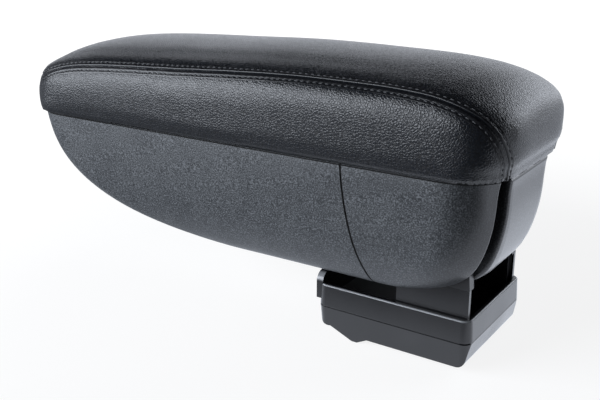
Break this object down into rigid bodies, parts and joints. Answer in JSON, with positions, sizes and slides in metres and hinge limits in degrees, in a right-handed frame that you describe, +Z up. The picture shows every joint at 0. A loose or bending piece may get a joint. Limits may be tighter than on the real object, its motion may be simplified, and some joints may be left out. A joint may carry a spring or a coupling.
{
  "type": "car centre armrest",
  "caption": "Padded car centre armrest: stitched leather lid on a boat-shaped storage bin that folds up on a fork in a console adapter.",
  "frame": {"origin": "middle of the adapter's length on its flat underside, in the plane of symmetry", "axes": "+X towards the rear, the nose of the armrest towards -X, +Y to the right, +Z up"},
  "size_m": [0.3655, 0.1302, 0.1812],
  "materials": {
    "leather": "black pebbled leather with black stitching",
    "grained_plastic": "charcoal, fine matte grain",
    "black_plastic": "black, satin to gloss",
    "liner_plastic": "black, matte",
    "foam": "open-cell foam",
    "board": "pressed fibreboard",
    "steel": "bright zinc plate",
    "nylon": "natural nylon",
    "rubber": "matte black",
    "magnet": "dull ferrite"
  },
  "bodies": {
    "base": {"adapter_tray": "black_plastic", "adapter_frame": "black_plastic", "adapter_screws": "steel", "rest_pad": "rubber", "leg": "black_plastic", "leg_screws": "steel", "pivot_pin": "steel", "pin_clips": "steel", "friction_washers": "nylon"},
    "armrest": {"bin": "grained_plastic", "left_cheek": "grained_plastic", "right_cheek": "grained_plastic", "cheek_screws": "steel", "pivot_bushes": "nylon", "hinge_rod": "steel", "catch_magnet": "magnet"},
    "lid": {"lid_base": "board", "lid_foam": "foam", "lid_cover": "leather", "lid_liner": "liner_plastic", "liner_screws": "steel", "catch_plate": "steel"}
  },
  "joints": [
    {"name": "armrest_fold", "type": "hinge", "parent": "base", "child": "armrest", "pos_m": [0.027, 0, 0.088], "axis": [0, 1, 0], "range_deg": [0, 90]},
    {"name": "lid_open", "type": "hinge", "parent": "armrest", "child": "lid", "pos_m": [0.0635, 0, 0.116], "axis": [0, 1, 0], "range_deg": [0, 70]}
  ]
}
